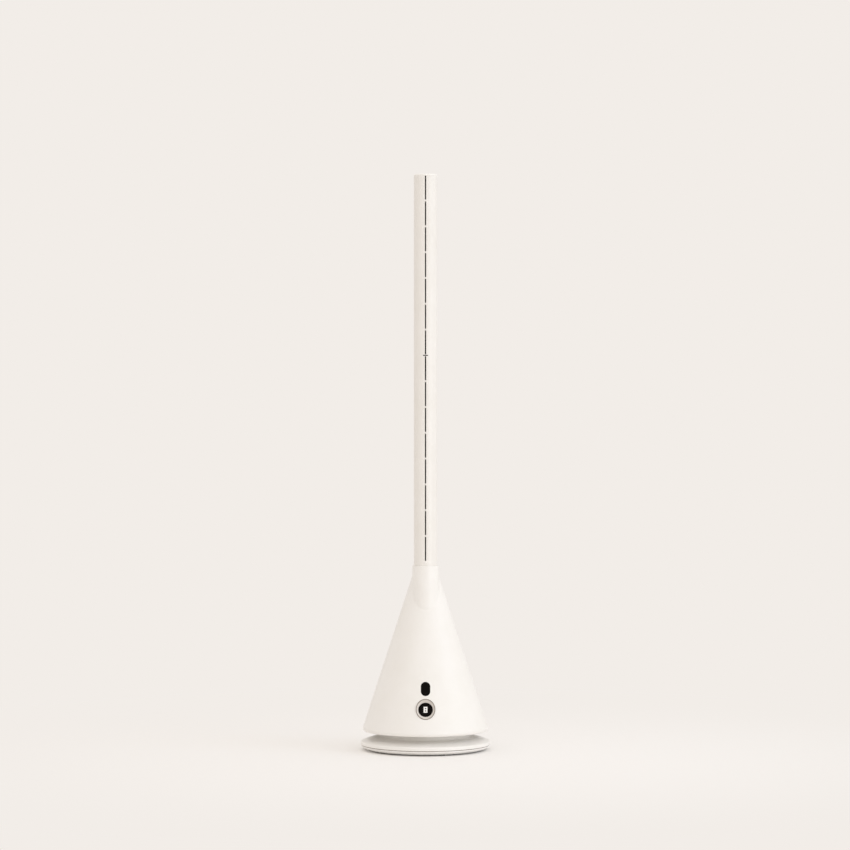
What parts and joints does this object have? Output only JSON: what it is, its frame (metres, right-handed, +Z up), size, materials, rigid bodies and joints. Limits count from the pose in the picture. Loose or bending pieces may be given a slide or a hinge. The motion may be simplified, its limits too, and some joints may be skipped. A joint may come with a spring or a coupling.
{
  "type": "bladeless fan",
  "caption": "Bladeless fan: a slotted round air column on a cone that holds the blower and turns on a low round foot.",
  "frame": {"origin": "on the floor, at the centre of the round foot, on the axis about which the head turns", "axes": "+Z up, -Y to the front with the slots and the control, +X to the right as seen by someone who faces the front"},
  "size_m": [0.222, 0.2219, 0.9864],
  "materials": {
    "white_shell": "satin moulded white",
    "column_paint": "satin white powder coat",
    "cap_plastic": "satin moulded white",
    "bezel_plastic": "satin moulded white",
    "grille_plastic": "satin moulded white",
    "base_plastic": "fine-grained moulded white",
    "rubber": "matt black",
    "ballast_iron": "as cast",
    "screw_steel": "zinc plated",
    "bright_steel": "ground",
    "motor_steel": "plated can",
    "gear_plastic": "natural acetal",
    "inner_plastic": "fine-grained dark grey",
    "nozzle_plastic": "dark grey",
    "inlet_plastic": "black",
    "filter_fibre": "pleated fibre",
    "button_gloss": "gloss black",
    "lens_gloss": "gloss black, infrared-clear",
    "board_green": "solder-masked board"
  },
  "bodies": {
    "foot": {"base_plate": "base_plastic", "rubber_feet": "rubber", "ballast_ring": "ballast_iron", "foot_cover": "white_shell", "foot_screws": "screw_steel", "oscillation_motor": "motor_steel", "motor_screws": "screw_steel", "power_inlet": "inlet_plastic", "pivot_bush": "gear_plastic", "slide_ring": "gear_plastic"},
    "head": {"cone_shell": "white_shell", "column_lower": "column_paint", "column_upper": "column_paint", "top_cap": "cap_plastic", "display_bezel": "bezel_plastic", "intake_grille": "grille_plastic", "casing_seal": "rubber", "duct_seal": "rubber", "gear_screws": "screw_steel", "turntable_screws": "screw_steel", "shell_screws": "screw_steel", "casing_screws": "screw_steel", "board_screws": "screw_steel", "retaining_ring": "bright_steel", "fan_motor": "motor_steel", "ring_gear": "gear_plastic", "turntable": "inner_plastic", "head_floor": "inner_plastic", "blower_casing": "inner_plastic", "diffuser": "inner_plastic", "air_duct": "inner_plastic", "column_sleeve": "nozzle_plastic", "nozzle_lower": "nozzle_plastic", "nozzle_upper": "nozzle_plastic", "press_switch": "inlet_plastic", "air_filter": "filter_fibre", "sensor_lens": "lens_gloss", "control_board": "board_green", "main_board": "board_green"},
    "pinion": {"drive_pinion": "gear_plastic", "motor_shaft": "bright_steel"},
    "impeller": {"impeller": "inner_plastic", "rotor_shaft": "bright_steel", "rotor_nut": "bright_steel"},
    "button": {"control_button": "button_gloss"}
  },
  "joints": [
    {"name": "head_oscillation", "type": "hinge", "parent": "foot", "child": "head", "pos_m": [0, 0, 0.035], "axis": [0, 0, 1], "range_deg": [-45, 45]},
    {"name": "pinion_spin", "type": "hinge", "parent": "foot", "child": "pinion", "pos_m": [0.045, 0, 0.0285], "axis": [0, 0, 1], "range_deg": [-270, 270]},
    {"name": "impeller_spin", "type": "hinge", "parent": "head", "child": "impeller", "pos_m": [0, 0, 0.144], "axis": [0, 0, 1], "continuous": true},
    {"name": "button_press", "type": "slide", "parent": "head", "child": "button", "axis": [0, 0.9507, -0.31], "range_m": [0, 0.001], "stiffness_N_per_m": 300, "springref_m": -0.0005}
  ],
  "couplings": [
    {"joint": "pinion_spin", "follows": "head_oscillation", "ratio": 6}
  ]
}
